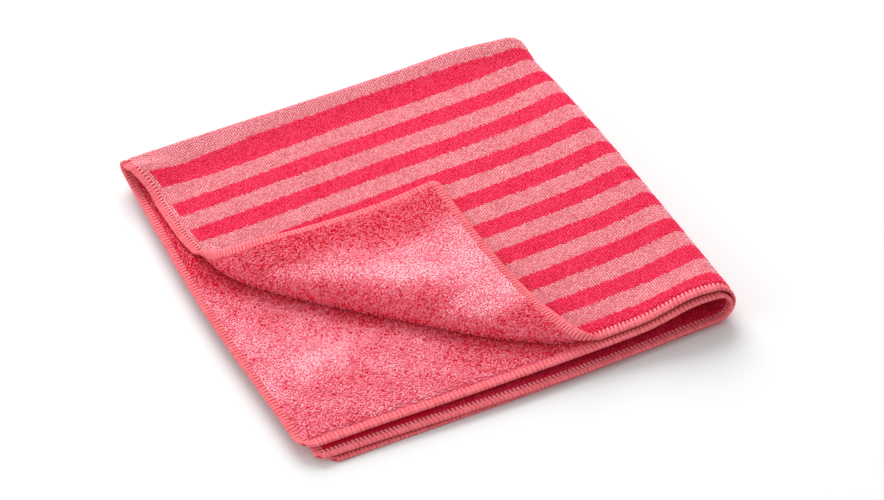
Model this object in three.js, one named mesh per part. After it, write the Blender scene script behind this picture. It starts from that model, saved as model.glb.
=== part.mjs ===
import * as THREE from 'three';

// A square microfibre cloth folded in quarters and lying flat, with the free corner of its top
// layer turned back. Millimetres, Z up. X runs along the stripes, from the loose side hems to the
// second fold. Y runs from the loose front hems to the first fold. The origin is under the middle.

// The cloth
const SIDE = 400;               // flat, hem to hem, both ways
const THICK = 1.7;              // knit with its pile pressed down
const LAYER_PITCH = 2.4;        // from the middle of one layer to the middle of the next
const HEM_ROUND = 0.6;          // how far the rolled hem stands out past the two faces
const HALF = THICK / 2;

// First fold, across the middle: a tight bend at the back edge with a soft shoulder
const FIRST_AT = 201;           // where the bend lies, from the front hem of the top layer
const FIRST_RADIUS = 2.3;
const FIRST_SHOULDER = 250;
const FIRST_SKEW = 4;           // how far the bend runs off the stripes at the side hem
const SKEW_REACH = 130;

// Second fold, of the doubled cloth: a full loop at the right edge that settles slowly
const SECOND_AT = 203;          // where the loop lies, from the side hem
const SECOND_RADIUS = 7.1;
const SECOND_SHOULDER = 1300;
const SECOND_EASE = 3;          // cloth taken up by the loop
const STACK = 2 * LAYER_PITCH + 0.9;

// The folded outline
const QUARTER = 200;            // nominal side of the folded square
const RIGHT_BOW = 1.4;
const BACK_BOW = 2.8;
const TOP_INSET = 4.4;          // side hem of the top layer behind that of the second
const INSET_REACH = 120;
const BACK_REACH = 22;
const BACK_CORNER = { inX: 1.9, inY: 5.1, reach: 38 };
const LOOP_BULGE = { share: 0.24, x: 180, reach: 25 };
const LOOP_SWELL = { share: 0.05, from: 130, overX: 60, overY: 140 };
const HEM_CURL = { rise: 3.8, reach: 26, from: 168, over: 24, back: 8 };
const HEM_TURN = { inX: 2.4, inY: 1.1, rise: 0.5, at: 127.6, along: 12.7, reach: 20 };

// How far the loose corner of each quarter has slid, how its front and side hems bow, and the
// radius of its sewn corner
const QUARTERS = {
  top: { slideX: 0, slideY: 0, frontBow: 2, sideBow: 0, round: 3 },
  second: { slideX: -1.9, slideY: -2.3, frontBow: -0.9, sideBow: -2.8, round: 8 },
  third: { slideX: -2.3, slideY: -7.2, frontBow: -4, sideBow: -2, round: 3 },
  bottom: { slideX: 3.8, slideY: -6.8, frontBow: -1.15, sideBow: 0, round: 3 },
};

// How far the hems of the inner quarters lead those of the outer ones towards the loop
const INNER_LEAD = { much: 4, from: 0.37, over: 0.6 };

// Soft swells of the uncovered cloth: quarter, middle on the folded square, reach and height
const SWELLS = [
  { quarter: 'second', x: 46, y: 34, reach: 26, rise: 1.4 },
  { quarter: 'top', x: 160, y: 120, reach: 40, rise: 0.8 },
  { quarter: 'top', x: 62, y: 165, reach: 34, rise: 0.6 },
];

// The corner turned back: a crease near the diagonal, a soft roll, a ridge, then the flap
const CREASE = { left: 128.6, front: 132.9 };  // from the corner, along the side hem and the front hem
const CREASE_BOW = 10.4;        // middle of the crease nearer the corner than its ends
const CREEP = 1.1;              // cloth drawn out towards the corner under the flap
const CREEP_REACH = 75;
const FLAP_STRETCH = 1.15;      // give of the knit on the bias
const ROLL = { arc: 10.7, turn: THREE.MathUtils.degToRad(155) };
const RIDGE = { arc: 19, turn: THREE.MathUtils.degToRad(35.5) };
const LANDING = { soft: 1, from: 0.3 };  // how the flap settles on the layer below

// Size of the roll at each end of the crease, beside that in the middle, and how late it tapers
const ROLL_ENDS = {
  left: { scale: 0.95, taper: 5 },
  front: { scale: 0.37, taper: 1.5 },
};

// Spacing of the mesh: grid lines in shares of the stretch they divide, corner rows by their
// distance round the roll and by how closely they follow it
const CORNER_SPAN = 140;
const CORNER_CELLS = 10;
const HEM_CELL = 5;
const BEFORE_BEND = [0.25, 0.5, 0.7, 0.87];
const AFTER_BEND = [0.05, 0.14, 0.3, 0.48, 0.66, 0.81, 0.89, 0.94];
const FIRST_CELLS = { half: 6.6, count: 11 };
const SECOND_CELLS = { half: 11, count: 12 };
const ROLL_CELLS = 11;
const RIDGE_CELLS = 5;
const FLAP_ROWS = [0.12, 0.26, 0.42, 0.6, 0.78, 0.92];
const ROW_CLEAR = 0.045;        // share of the crease kept free of points beside the hems
const ROW_TRIES = 12;
const TINY = 1e-6;

const CREASE_LENGTH = Math.hypot(CREASE.left, CREASE.front);
const TURN_REACH = 250;         // how far from the corner, along both hems together, the turn is felt

function clamp01(value) {
  return Math.min(Math.max(value, 0), 1);
}

function smooth(value) {
  const v = clamp01(value);
  return v * v * (3 - 2 * v);
}

// Share of the first fold's skew that is left at a place along the stripes
function skewAt(s) {
  return FIRST_SKEW * (1 - smooth(s / SKEW_REACH));
}

// First fold: distance behind the front, height out of the doubled cloth, and the lift it needs
function firstFold(t) {
  const past = t - FIRST_AT;
  const half = LAYER_PITCH / 2;
  const tilt = Math.acos((half + FIRST_SHOULDER) / (FIRST_RADIUS + FIRST_SHOULDER));
  const bend = FIRST_RADIUS * (Math.PI / 2 + tilt);
  const shoulder = FIRST_SHOULDER * tilt;
  const run = Math.abs(past);
  const angle = Math.min(run, bend) / FIRST_RADIUS;
  let y = FIRST_AT - FIRST_RADIUS + FIRST_RADIUS * Math.cos(angle);
  let out = FIRST_RADIUS * Math.sin(angle);
  if (run > bend) {
    const left = tilt - Math.min(run - bend, shoulder) / FIRST_SHOULDER;
    y -= FIRST_SHOULDER * (Math.sin(tilt) - Math.sin(left));
    y -= Math.max(run - bend - shoulder, 0);
    out -= FIRST_SHOULDER * (Math.cos(left) - Math.cos(tilt));
  }
  const crown = run < FIRST_RADIUS * Math.PI / 2 ? FIRST_RADIUS : out;
  return { y, out: past < 0 ? out : -out, lift: crown - half };
}

// Second fold: the middle line of the doubled cloth and its outward direction
function secondFold(s) {
  const upper = s < SECOND_AT;
  const drop = 2 * SECOND_RADIUS - STACK;
  const tilt = Math.acos(1 - drop / (SECOND_RADIUS + SECOND_SHOULDER));
  const turn = Math.PI / 2 + (upper ? tilt : 0);
  const run = Math.abs(s - SECOND_AT);
  const angle = Math.min(run / SECOND_RADIUS, turn);
  const side = upper ? 1 : -1;
  const rest = Math.max(run - SECOND_RADIUS * turn, 0);
  let x = SECOND_RADIUS * Math.cos(angle);
  let z = side * SECOND_RADIUS * Math.sin(angle);
  let nx = Math.cos(angle);
  let nz = side * Math.sin(angle);
  if (upper && rest > 0) {
    const shoulder = SECOND_SHOULDER * tilt;
    const left = tilt - Math.min(rest, shoulder) / SECOND_SHOULDER;
    x -= SECOND_SHOULDER * (Math.sin(tilt) - Math.sin(left)) + Math.max(rest - shoulder, 0);
    z -= SECOND_SHOULDER * (Math.cos(left) - Math.cos(tilt));
    nx = -Math.sin(left);
    nz = Math.cos(left);
  } else {
    x -= rest;
  }
  x += SECOND_AT - SECOND_RADIUS - SECOND_EASE;
  z += SECOND_RADIUS + HALF + LAYER_PITCH / 2;
  return { x, z, nx, nz };
}

// The roll at a place along the crease, from -1 at the side hem to 1 at the front hem: its bow
// towards the corner, its size beside that in the middle, and where it starts past the crease
function rollAt(along) {
  const end = along < 0 ? ROLL_ENDS.left : ROLL_ENDS.front;
  const off = Math.min(Math.abs(along), 1);
  const bow = 1 - off ** 4;
  const scale = 1 - (1 - end.scale) * off ** end.taper;
  return { bow, scale, start: CREASE_BOW * bow - 0.5 * scale * ROLL.arc };
}

// Place along the crease and past it
function fromCrease(s, t) {
  const { left, front } = CREASE;
  const along = (front * (2 * s - front) - left * (2 * t - left)) / CREASE_LENGTH ** 2;
  return { along, eta: (left * front - left * s - front * t) / CREASE_LENGTH };
}

// Turned-back corner: where on the top layer a point comes to lie, and how far above it
function turnBack(s, t) {
  const { along, eta } = fromCrease(s, t);
  const { bow, scale, start } = rollAt(along);
  const creep = CREEP * bow * smooth((eta + CREEP_REACH) / (start + CREEP_REACH));
  let moved = eta;
  let rise = 0;
  if (eta > start) {
    const run = (eta - start) / scale;
    const rollRadius = ROLL.arc / ROLL.turn;
    const roll = Math.min(run, ROLL.arc) / rollRadius;
    let u = rollRadius * Math.sin(roll);
    let h = rollRadius * (1 - Math.cos(roll));
    const ridgeRadius = RIDGE.arc / RIDGE.turn;
    const ridge = ROLL.turn + clamp01((run - ROLL.arc) / RIDGE.arc) * RIDGE.turn;
    u += ridgeRadius * (Math.sin(ridge) - Math.sin(ROLL.turn));
    h -= ridgeRadius * (Math.cos(ridge) - Math.cos(ROLL.turn));
    const flap = Math.max(run - ROLL.arc - RIDGE.arc, 0);
    u += flap * Math.cos(ROLL.turn + RIDGE.turn);
    h += flap * Math.sin(ROLL.turn + RIDGE.turn);
    u *= scale * (u < 0 ? FLAP_STRETCH : 1);
    h *= scale;
    const above = h - LAYER_PITCH;
    const landed = LAYER_PITCH + 0.5 * (above + Math.hypot(above, LANDING.soft));
    rise = h + (landed - h) * smooth((run / ROLL.arc - LANDING.from) / (1 - LANDING.from));
    moved = start + u;
  }
  const shift = (eta - moved - creep) / CREASE_LENGTH;
  return { s: s + shift * CREASE.left, t: t + shift * CREASE.front, rise };
}

// Name of a quarter: above or below the second fold, outside or inside the first
function quarterName(upper, outer) {
  if (upper) {
    return outer ? 'top' : 'second';
  }
  return outer ? 'bottom' : 'third';
}

// Rounded corners of the flat cloth: the square patch at each corner drawn in to a quarter circle
function roundCorner(s, t) {
  const upper = s < SIDE / 2;
  const outer = t < SIDE / 2;
  const { round } = QUARTERS[quarterName(upper, outer)];
  const u = clamp01(1 - Math.min(s, SIDE - s) / round);
  const v = clamp01(1 - Math.min(t, SIDE - t) / round);
  const inS = round * u * (1 - Math.sqrt(1 - v * v / 2));
  const inT = round * v * (1 - Math.sqrt(1 - u * u / 2));
  return { s: s + (upper ? inS : -inS), t: t + (outer ? inT : -inT) };
}

// Middle of the cloth at a place on the flat square
function place(flatS, flatT) {
  let { s, t } = roundCorner(flatS, flatT);
  let rise = 0;
  if (s + t < TURN_REACH && s < SECOND_AT && t < FIRST_AT) {
    ({ s, t, rise } = turnBack(s, t));
  }
  const skew = skewAt(s);
  const upper = s < SECOND_AT;
  const outer = t < FIRST_AT + skew;
  const first = firstFold(t - skew * clamp01((SIDE - t) / (SIDE - FIRST_AT)));
  const second = secondFold(s);
  let x = second.x + second.nx * first.out;
  let y = first.y;
  let z = second.z + second.nz * first.out + first.lift * (2 + second.nz) + rise;

  const name = quarterName(upper, outer);
  const quarter = QUARTERS[name];
  const fx = clamp01(x / QUARTER);
  const fy = clamp01(y / QUARTER);
  const waveX = Math.sin(Math.PI * fx);
  const waveY = Math.sin(Math.PI * fy);
  x += quarter.slideX * (1 - fx) * (1 - fy) + quarter.sideBow * waveY ** 2 * (1 - fx);
  x += RIGHT_BOW * waveY * fx;
  y += quarter.slideY * (1 - fx) * (1 - fy) + quarter.frontBow * waveX ** 2 * (1 - fy) ** 2;
  y += BACK_BOW * waveX * fy;
  if (name === 'second' || name === 'third') {
    y -= INNER_LEAD.much * smooth((fx - INNER_LEAD.from) / INNER_LEAD.over) * (1 - fy) ** 2;
  }

  const reach = BACK_CORNER.reach;
  const corner = smooth((x - QUARTER + reach) / reach) * smooth((y - QUARTER + reach) / reach);
  x -= BACK_CORNER.inX * corner;
  y -= BACK_CORNER.inY * corner;

  if (name === 'top') {
    const fromBack = smooth((FIRST_AT - t) / BACK_REACH);
    x += TOP_INSET * fromBack * (1 - smooth(s / INSET_REACH));
    const alongHem = smooth((t - HEM_CURL.from) / HEM_CURL.over);
    const beforeBend = smooth((FIRST_AT - t) / HEM_CURL.back);
    z += HEM_CURL.rise * smooth(1 - s / HEM_CURL.reach) * alongHem * beforeBend;
    const fromTurn = (flatT - HEM_TURN.at) / HEM_TURN.along;
    const turning = smooth(1 - flatS / HEM_TURN.reach) * Math.exp(-(fromTurn ** 2));
    x += HEM_TURN.inX * turning;
    y += HEM_TURN.inY * turning;
    z += HEM_TURN.rise * turning;
  }
  for (const swell of SWELLS) {
    if (swell.quarter === name) {
      z += swell.rise * smooth(1 - Math.hypot(x - swell.x, y - swell.y) / (2 * swell.reach));
    }
  }
  const swelling = smooth((x - LOOP_SWELL.from) / LOOP_SWELL.overX) * smooth(y / LOOP_SWELL.overY);
  const bulging = smooth(1 - Math.hypot(x - LOOP_BULGE.x, y) / LOOP_BULGE.reach);
  z = HALF + (z - HALF) * (1 + LOOP_SWELL.share * swelling + LOOP_BULGE.share * bulging);
  return new THREE.Vector3(x, y, z);
}

// Direction of the striped face at a place on the flat square
function faceDirection(s, t) {
  const step = 0.05;
  const s0 = Math.max(s - step, 0);
  const s1 = Math.min(s + step, SIDE);
  const t0 = Math.max(t - step, 0);
  const t1 = Math.min(t + step, SIDE);
  const alongS = place(s1, t).sub(place(s0, t));
  const alongT = place(s, t1).sub(place(s, t0));
  return alongS.cross(alongT).normalize();
}

// Direction out of the cloth at its edge
function edgeDirection(s, t) {
  const step = 0.05;
  const inS = s === 0 ? step : (s === SIDE ? -step : 0);
  const inT = t === 0 ? step : (t === SIDE ? -step : 0);
  return place(s, t).sub(place(s + inS, t + inT)).normalize();
}

// Grid lines across the flat cloth: even in the corner that turns back, close together in a bend
function gridLines(bendAt, { half, count }) {
  const lines = [0, HEM_CELL, CORNER_SPAN - HEM_CELL, CORNER_SPAN];
  for (let i = 1; i < CORNER_CELLS; i += 1) {
    lines.push(i * CORNER_SPAN / CORNER_CELLS);
  }
  for (let i = 0; i <= count; i += 1) {
    lines.push(bendAt - half + 2 * half * i / count);
  }
  const low = bendAt - half;
  const high = bendAt + half;
  for (const share of BEFORE_BEND) {
    lines.push(CORNER_SPAN + (low - CORNER_SPAN) * share);
  }
  for (const share of AFTER_BEND) {
    lines.push(high + (SIDE - high) * share);
  }
  lines.push(SIDE - HEM_CELL, SIDE);
  return lines.sort((a, b) => a - b);
}

// Rows across the turned-back corner: round the roll, over the ridge, then straightening out
function cornerRows() {
  const rows = [];
  for (let i = -1; i <= ROLL_CELLS; i += 1) {
    rows.push({ run: ROLL.arc * i / ROLL_CELLS, follow: 1 });
  }
  for (let i = 1; i <= RIDGE_CELLS; i += 1) {
    rows.push({ run: ROLL.arc + RIDGE.arc * i / RIDGE_CELLS, follow: 1 });
  }
  const ridgeEnd = ROLL.arc + RIDGE.arc;
  const tip = fromCrease(0, 0).eta - rollAt(0).start;
  for (const share of FLAP_ROWS) {
    rows.push({ run: ridgeEnd + (tip - ridgeEnd) * share, follow: 1 - share });
  }
  return rows;
}

// Places on the flat cloth along one of those rows, from the side hem to the front hem
function rowPlaces({ run, follow }, columns) {
  const { left, front } = CREASE;
  const middle = rollAt(0).start + run;
  const etaAt = (along) => {
    const { start, scale } = rollAt(along);
    return middle + follow * (start + run * scale - middle);
  };
  let first = -1;
  let last = 1;
  for (let i = 0; i < ROW_TRIES; i += 1) {
    first = 2 * etaAt(first) * left / (CREASE_LENGTH * front) - 1;
    last = 1 - 2 * etaAt(last) * front / (CREASE_LENGTH * left);
  }
  const between = columns.filter((along) => along > first + ROW_CLEAR && along < last - ROW_CLEAR);
  const places = between.map((along) => {
    const eta = etaAt(along) / CREASE_LENGTH;
    return [front * (1 + along) / 2 - left * eta, left * (1 - along) / 2 - front * eta];
  });
  const sideHem = left * (1 - first) / 2 - front * etaAt(first) / CREASE_LENGTH;
  const frontHem = front * (1 + last) / 2 - left * etaAt(last) / CREASE_LENGTH;
  return [[0, sideHem], ...places, [frontHem, 0]];
}

function meshFlatCloth() {
  const points = [];
  const triangles = [];
  const addPoint = (s, t) => points.push({ s, t }) - 1;
  const addTriangle = (a, b, c) => {
    const [p, q, r] = [points[a], points[b], points[c]];
    const area = (q.s - p.s) * (r.t - p.t) - (q.t - p.t) * (r.s - p.s);
    triangles.push(area > 0 ? [a, b, c] : [a, c, b]);
  };

  const linesS = gridLines(SECOND_AT, SECOND_CELLS);
  const linesT = gridLines(FIRST_AT + FIRST_SKEW / 2, FIRST_CELLS);
  const grid = linesS.map((s) => linesT.map((t) => (
    s + t < CORNER_SPAN - TINY ? -1 : addPoint(s, t)
  )));
  for (let i = 0; i + 1 < linesS.length; i += 1) {
    for (let j = 0; j + 1 < linesT.length; j += 1) {
      const [a, b, c, d] = [grid[i][j], grid[i + 1][j], grid[i + 1][j + 1], grid[i][j + 1]];
      if (b >= 0 && c >= 0 && d >= 0) {
        addTriangle(b, c, d);
      }
      if (a >= 0) {
        addTriangle(a, b, d);
      }
    }
  }

  const across = (point) => points[point].s - points[point].t;
  const onDiagonal = (point) => Math.abs(points[point].s + points[point].t - CORNER_SPAN) < TINY;
  let row = grid.flat().filter((point) => point >= 0 && onDiagonal(point));
  row.sort((a, b) => across(a) - across(b));
  const columns = row.map((point) => fromCrease(points[point].s, points[point].t).along);
  for (const rowShape of cornerRows()) {
    const next = rowPlaces(rowShape, columns).map(([s, t]) => addPoint(s, t));
    let i = 0;
    let j = 0;
    while (i + 1 < row.length || j + 1 < next.length) {
      const stepRow = j + 1 >= next.length
        || (i + 1 < row.length && across(row[i + 1]) < across(next[j + 1]));
      if (stepRow) {
        addTriangle(row[i], row[i + 1], next[j]);
        i += 1;
      } else {
        addTriangle(row[i], next[j + 1], next[j]);
        j += 1;
      }
    }
    row = next;
  }
  const tip = addPoint(0, 0);
  for (let i = 0; i + 1 < row.length; i += 1) {
    addTriangle(row[i], row[i + 1], tip);
  }
  return { points, triangles };
}

// Both faces of the folded cloth, joined round the hem by a rounded edge
function foldedCloth() {
  const { points, triangles } = meshFlatCloth();
  const count = points.length;
  const striped = [];
  const terry = [];
  for (const { s, t } of points) {
    const middle = place(s, t);
    const out = faceDirection(s, t).multiplyScalar(HALF);
    striped.push(middle.clone().add(out));
    terry.push(middle.clone().sub(out));
  }
  const corners = [...striped, ...terry];
  const faces = [];
  const edges = new Map();
  for (const [a, b, c] of triangles) {
    faces.push(a, b, c, a + count, c + count, b + count);
    for (const [from, to] of [[a, b], [b, c], [c, a]]) {
      const back = `${to},${from}`;
      if (!edges.delete(back)) {
        edges.set(`${from},${to}`, [from, to]);
      }
    }
  }
  const rim = new Map();
  for (const [from] of edges.values()) {
    const { s, t } = points[from];
    const bulge = edgeDirection(s, t).multiplyScalar(HEM_ROUND);
    rim.set(from, corners.push(place(s, t).add(bulge)) - 1);
  }
  for (const [from, to] of edges.values()) {
    const a = rim.get(from);
    const b = rim.get(to);
    faces.push(to, from, a, to, a, b);
    faces.push(b, a, from + count, b, from + count, to + count);
  }

  const geometry = new THREE.BufferGeometry().setFromPoints(corners);
  geometry.setIndex(faces);
  geometry.computeBoundingBox();
  const middle = geometry.boundingBox.getCenter(new THREE.Vector3());
  geometry.translate(-middle.x, -middle.y, 0);
  geometry.computeVertexNormals();
  return geometry;
}

const cloth = new THREE.Mesh(
  foldedCloth(),
  new THREE.MeshStandardMaterial({ color: 0xee5f7c, roughness: 0.95, metalness: 0 }),
);
cloth.name = 'cloth';

const part = new THREE.Group();
part.name = 'folded_cloth';
part.add(cloth);

export default part;
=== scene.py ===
"""A striped microfibre cloth folded in quarters, with the loose corner of its top layer turned back."""

import math

import bpy
import numpy as np
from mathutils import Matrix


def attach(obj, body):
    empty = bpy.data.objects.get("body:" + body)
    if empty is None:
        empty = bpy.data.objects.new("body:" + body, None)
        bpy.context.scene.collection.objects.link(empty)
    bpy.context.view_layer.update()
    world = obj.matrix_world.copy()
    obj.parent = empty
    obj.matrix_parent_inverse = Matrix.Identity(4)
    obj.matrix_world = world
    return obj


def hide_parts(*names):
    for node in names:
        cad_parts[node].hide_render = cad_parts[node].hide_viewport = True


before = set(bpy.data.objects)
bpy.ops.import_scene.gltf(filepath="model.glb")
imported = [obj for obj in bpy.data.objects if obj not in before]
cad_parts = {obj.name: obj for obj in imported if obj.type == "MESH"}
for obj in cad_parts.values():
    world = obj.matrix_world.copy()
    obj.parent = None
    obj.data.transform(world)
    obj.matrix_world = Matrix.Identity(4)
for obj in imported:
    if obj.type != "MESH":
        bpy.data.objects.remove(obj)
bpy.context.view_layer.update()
SEED = 11
rng = np.random.default_rng(SEED)

# Sizes are in millimetres until a mesh is made. On the flat cloth s runs along the stripes and t across.
METRE = 0.001
NUDGE = 0.05

# The cloth
SIDE = 400.0
EDGES = 4
HALF = 0.85
LAYER_PITCH = 2.4

# First fold, across the middle, at the back edge
FIRST_AT = 201.0
FIRST_RADIUS = 2.3
FIRST_SHOULDER = 250.0
FIRST_SKEW = 4.0
SKEW_REACH = 130.0

# Second fold, of the doubled cloth, at the right edge
SECOND_AT = 203.0
SECOND_RADIUS = 7.1
SECOND_SHOULDER = 1300.0
SECOND_EASE = 3.0
STACK_SLACK = 0.9
STACK = 2 * LAYER_PITCH + STACK_SLACK

# The folded outline
QUARTER = 200.0
RIGHT_BOW = 1.4
BACK_BOW = 2.8
TOP_INSET = 4.4
INSET_REACH = 120.0
BACK_REACH = 22.0
BACK_CORNER = {"in_x": 1.9, "in_y": 5.1, "reach": 38.0}
LOOP_BULGE = {"share": 0.24, "x": 180.0, "reach": 25.0}
LOOP_SWELL = {"share": 0.05, "start": 130.0, "over_x": 60.0, "over_y": 140.0}
HEM_CURL = {"rise": 3.8, "reach": 26.0, "start": 168.0, "over": 24.0, "back": 8.0}
HEM_TURN = {"in_x": 2.4, "in_y": 1.1, "rise": 0.5, "at": 127.6, "along": 12.7, "reach": 20.0}

# Each quarter's loose corner: how far it has slid, how its front and side hems bow, and its radius
TOP, SECOND, THIRD, BOTTOM = range(4)
SLIDE_X = np.array([0.0, -1.9, -2.3, 3.8])
SLIDE_Y = np.array([0.0, -2.3, -7.2, -6.8])
FRONT_BOW = np.array([2.0, -0.9, -4.0, -1.15])
SIDE_BOW = np.array([0.0, -2.8, -2.0, 0.0])
CORNER_ROUND = np.array([3.0, 8.0, 3.0, 3.0])
SWELLS = (
    {"quarter": SECOND, "x": 46.0, "y": 34.0, "reach": 26.0, "rise": 1.4},
    {"quarter": TOP, "x": 160.0, "y": 120.0, "reach": 40.0, "rise": 0.8},
    {"quarter": TOP, "x": 62.0, "y": 165.0, "reach": 34.0, "rise": 0.6},
)

# How far the hems of the inner quarters lead those of the outer ones towards the loop
INNER_LEAD = {"much": 4.0, "start": 0.37, "over": 0.6}

# The corner turned back, along a crease from the side hem to the front hem
CREASE_LEFT, CREASE_FRONT = 128.6, 132.9
CREASE_LENGTH = math.hypot(CREASE_LEFT, CREASE_FRONT)
CREASE_BOW, BOW_POWER = 10.4, 4
CREEP = 1.1
CREEP_REACH = 75.0
FLAP_STRETCH = 1.15
ROLL_ARC, ROLL_TURN = 10.7, math.radians(155)
RIDGE_ARC, RIDGE_TURN = 19.0, math.radians(35.5)
END_SCALE = {"left": 0.95, "front": 0.37}
END_TAPER = {"left": 5.0, "front": 1.5}
LANDING_SOFT, LANDING_FROM = 1.0, 0.3
TURN_REACH = 250.0

# The stripes, across the flat cloth
STRIPE_PITCH = 19.85
STRIPE_FIRST = 0.2
STRIPE_WIDE = 9.6
LAST_STRIPE, LAST_WIDE = 9, 12.7
LAST_TAPER = {"near": 1.3, "until": 50.0, "far": 2.2, "start": 160.0, "over": 40.0}
STRIPE_INSET = 5.6
STRIPE_DRIFT = {"much": 3.5, "start": 165.0, "over": 45.0}
STRIPE_BEND = {"much": 1.1, "s": 155.0, "t": 130.0, "along": 25.0, "across": 45.0}
STRIPE_WANDER = ({"much": 0.3, "along": 31.0, "across": 9.0}, {"much": 0.2, "along": 11.3, "across": -5.0})
STRIPE_FRAY = 0.1

# The hem
HEM = 3.7
TERRY_HEM = 3.2
HEM_HALF = 0.5
HEM_EASE = {"inside": 0.6, "over": 2.4}
STITCH_PITCH = 1.85
STITCH_START = 0.8
STITCH_SLANT = 0.8
STITCH_LIFT = 0.1
STITCH_SPREAD = (0.92, 1.08)
YARN_SIDES = 6
YARN_FLAT = 0.42

# Two strands to a stitch, by stops: the distance in from the edge, the angle round it and the yarn's radius
LONG_STRAND = (
    {"inward": 4.0, "angle": 60, "radius": 0.3},
    {"inward": 3.6, "angle": 0, "radius": 0.5},
    {"inward": 3.0, "angle": 0, "radius": 0.64},
    {"inward": 2.4, "angle": 0, "radius": 0.56},
    {"inward": 1.9, "angle": 0, "radius": 0.38},
    {"inward": 1.3, "angle": 0, "radius": 0.38},
    {"inward": 0.6, "angle": 0, "radius": 0.42},
    {"inward": 0.0, "angle": 45, "radius": 0.48},
    {"inward": 0.0, "angle": 90, "radius": 0.5},
    {"inward": 0.0, "angle": 135, "radius": 0.5},
    {"inward": 0.4, "angle": 180, "radius": 0.52},
    {"inward": 1.2, "angle": 180, "radius": 0.56},
    {"inward": 2.1, "angle": 180, "radius": 0.58},
    {"inward": 2.8, "angle": 180, "radius": 0.5},
    {"inward": 3.4, "angle": 115, "radius": 0.25},
)
SHORT_STRAND = (
    {"inward": 2.4, "angle": 40, "radius": 0.25},
    {"inward": 1.9, "angle": 0, "radius": 0.48},
    {"inward": 1.3, "angle": 0, "radius": 0.56},
    {"inward": 0.6, "angle": 0, "radius": 0.5},
    {"inward": 0.0, "angle": 45, "radius": 0.44},
    {"inward": 0.0, "angle": 90, "radius": 0.42},
    {"inward": 0.0, "angle": 135, "radius": 0.42},
    {"inward": 0.4, "angle": 180, "radius": 0.42},
    {"inward": 0.9, "angle": 180, "radius": 0.4},
    {"inward": 1.5, "angle": 140, "radius": 0.22},
)
# The short strand gets darker tones than the long one, as painted shade in the grooves between the long
# strands
STRANDS = (
    {"name": "hem_long", "stops": LONG_STRAND, "shift": 0.25, "pale_stops": 5, "tones": (0.35, 0.65)},
    {"name": "hem_short", "stops": SHORT_STRAND, "shift": 0.75, "pale_stops": 0, "tones": (0.15, 0.45)},
)

# Grid lines of the sheet, in stretches of a start and a step: close in the hems, the bends and the corner
PANEL_S = ((0, HEM / 3), (HEM, 1.5), (150, 4), (190, 0.8), (216, 5), (SIDE - HEM, HEM / 3))
PANEL_T = ((0, HEM / 3), (HEM, 1.5), (150, 4), (186, 1.5), (194, 0.5), (213, 3), (SIDE - HEM, HEM / 3))
RIM_ANGLES = np.radians((45, 90, 135))

# The ribs of the striped face, where they are hidden, and where they go inside the loop
RIB_PITCH = 1.1
ROW_PITCH = 1.2
RIB_JITTER = 0.16
RIB_SUNK = 0.06
RIB_WIDE, RIB_LONG, RIB_HIGH = (0.84, 1.16), (0.9, 1.2), (0.36, 0.56)
RIB_FULL = {"red": 0.86, "pink": 0.7}
RIB_MIDDLE = 0.65
RIDGE_SHARE = 0.45
# Rib tones: painted shade at the foot, painted light on the ridge and over the back fold, painted shade
# inside the loop, and a random spread with patches
RIB_SHADE = {"foot": 0.15, "ridge": 0.78, "spread": 0.19, "patch": 0.12, "size": 5}
FOLD_SHADE = {"lighter": 0.3, "start": -10.0, "darker": 0.7, "inside": 20.0, "over": 6.0}
RIB_CLEAR = 0.3
RIB_EDGE = HEM + RIB_CLEAR
RIB_END = 210.0
UNDER_FLAP = {"s": 113.0, "t": 116.0, "past": 2.0}
UNDERSIDE = {"s": 213.0, "t": 193.0}
LOOP_MOUTH = {"start": 190.0, "stop": 345.0, "deep": 16.0}

# The loops of the terry face, and where they show
LOOP_PITCH = 1.0
LOOP_JITTER = 0.25
LOOP_SUNK = 0.1
LOOP_LEAN, LOOP_WIDE, LOOP_HIGH = (0.1, 0.5), (0.36, 0.5), (0.7, 1.1)
LOOP_LONG, LOOP_SLIM = 1.3, 0.62
LOOP_FOOT, BELLY_HIGH, BELLY_LEAN = 0.85, 0.6, 0.5
NAP_WIDER, NAP_LOWER = 0.45, 0.4
# Loop tones: painted light that rises with the brushing value, painted shade at the feet, and a random
# spread
LOOP_TONE = {"base": 0.44, "nap_and_light": 0.52, "spread": 0.38, "even": 0.6}
LOOP_SHADE = {"deep": 0.1, "deep_nap": 0.5, "belly": 0.85, "tip": 0.1}
FLAP_SPAN = 146.0
FLAP_BEFORE = 3.0
SECOND_SPAN = 142.0
SECOND_BACK = 206.0
SECOND_STRIP = 15.0

# How far the loops of the turned-back corner are brushed flat, and the painted light and shade on them:
# lighter past the ridge and along a painted highlight streak, later near its side hem, and darker on the
# roll as painted shade
LATE = {"until": 78.0, "over": 10.0}
STREAK = {"much": 0.5, "slope": 1.54, "at": 116.0, "wide": 9.0, "past": 6.0, "over": 6.0}
STREAK_ENDS = {"start": 12.0, "over": 8.0, "until": 64.0, "fade": 16.0}
LIT = {"much": 0.73, "more": 0.12, "more_start": 40.0, "more_over": 15.0}
LIT_ENDS = {"start": 13.0, "over": 24.0, "until": 101.0, "fade": 16.0, "uneven": 7.0, "size": 22}
LIT_PAST = {"start": 3.0, "later": 5.0, "over": 12.0, "longer": 8.0}
BY_HEM = {"much": 0.3, "wide": 6.0, "until": 90.0, "fade": 60.0}
FLAP_BLOTCHES = ({"much": 0.12, "size": 13}, {"much": 0.1, "size": 5})

# The same on the uncovered second layer: upright loops, painted darker beside the roll as its shade, and a
# few brushed patches painted lighter as sheen
SECOND_NAP_AND_SHADE = {"much": 0.42, "less": 0.72, "start": 103.0, "over": 20.0, "least": -0.4}
SECOND_BLOTCHES = ({"much": 0.16, "size": 12}, {"much": 0.12, "size": 5})
NAP_SHEEN_PATCHES = (
    {"s": 26.0, "t": 358.0, "along": 26.0, "across": 9.0, "much": 0.38},
    {"s": 20.0, "t": 338.0, "along": 20.0, "across": 8.0, "much": 0.16},
    {"s": 58.0, "t": 378.0, "along": 14.0, "across": 8.0, "much": 0.14},
    {"s": 0.0, "t": 330.0, "along": 8.0, "across": 70.0, "much": 0.2},
)

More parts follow.
